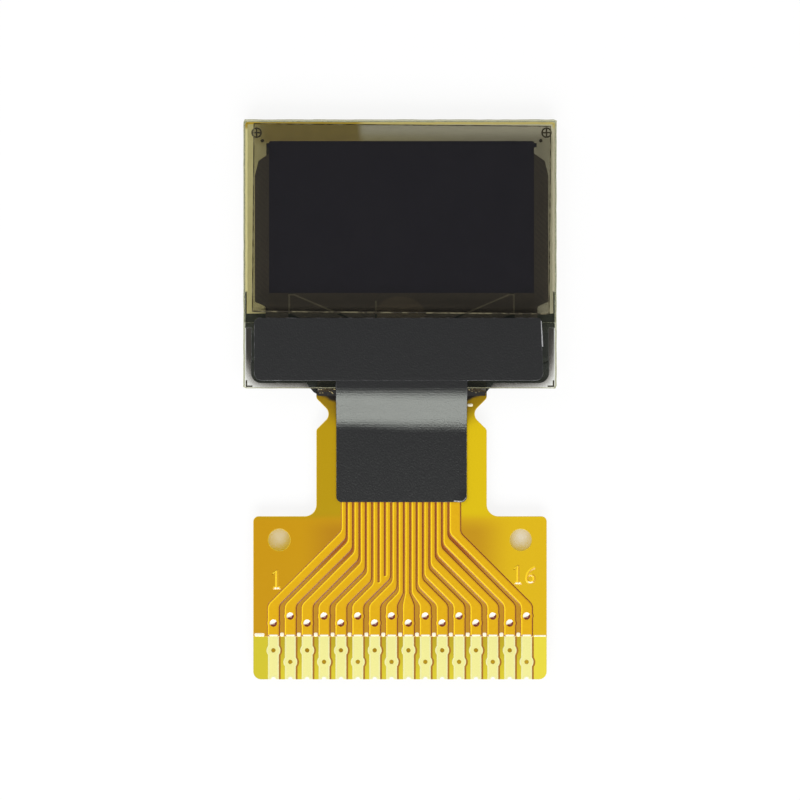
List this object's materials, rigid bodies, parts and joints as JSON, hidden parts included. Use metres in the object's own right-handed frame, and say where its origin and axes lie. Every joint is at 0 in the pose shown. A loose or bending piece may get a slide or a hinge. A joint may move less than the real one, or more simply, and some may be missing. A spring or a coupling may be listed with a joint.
{
  "type": "small oled display module",
  "caption": "Bare glass display panel with a driver chip on its ledge and a flat flexible tail that ends in a row of plated contacts.",
  "frame": {"origin": "on the back of the cap glass, behind the middle of the screen", "axes": "+Z out of the screen towards the viewer, +Y towards the top of the screen, away from the tail, +X to the viewer's right"},
  "size_m": [0.012, 0.0215, 0.0012],
  "materials": {
    "front_glass": "clear float glass with cut edges",
    "cap_glass": "clear float glass with an etched pocket",
    "polarizer": "smooth semi-gloss polarizing film",
    "screen": "black behind the polarizer",
    "routing": "fine metal lines seen as dark brown",
    "marks": "etched metal film",
    "seal": "pale yellow cured adhesive",
    "desiccant": "off-white getter sheet",
    "silicon": "ground silicon",
    "bond": "cured bonding film",
    "resin": "clear cured resin",
    "base_film": "amber polyimide",
    "coverlay": "amber polyimide over adhesive",
    "copper": "gold-plated copper, amber where covered",
    "tape": "matt black polyester tape"
  },
  "bodies": {
    "root": {"cap_glass": "cap_glass", "desiccant_sheet": "desiccant", "seal_frame": "seal", "screen_film": "screen", "routing_film": "routing", "alignment_marks": "marks", "front_glass": "front_glass", "polarizer": "polarizer", "driver_chip": "silicon", "chip_bond_film": "bond", "tail_bond_film": "bond", "edge_resin": "resin", "tail_base": "base_film", "front_coverlay": "coverlay", "back_coverlay": "coverlay", "pin_figures": "copper", "front_tape": "tape", "back_tape": "tape", "trace_01": "copper", "trace_02": "copper", "trace_03": "copper", "trace_04": "copper", "trace_05": "copper", "trace_06": "copper", "trace_07": "copper", "trace_08": "copper", "trace_09": "copper", "trace_10": "copper", "trace_11": "copper", "trace_12": "copper", "trace_13": "copper", "trace_14": "copper", "trace_15": "copper", "trace_16": "copper"}
  },
  "joints": []
}
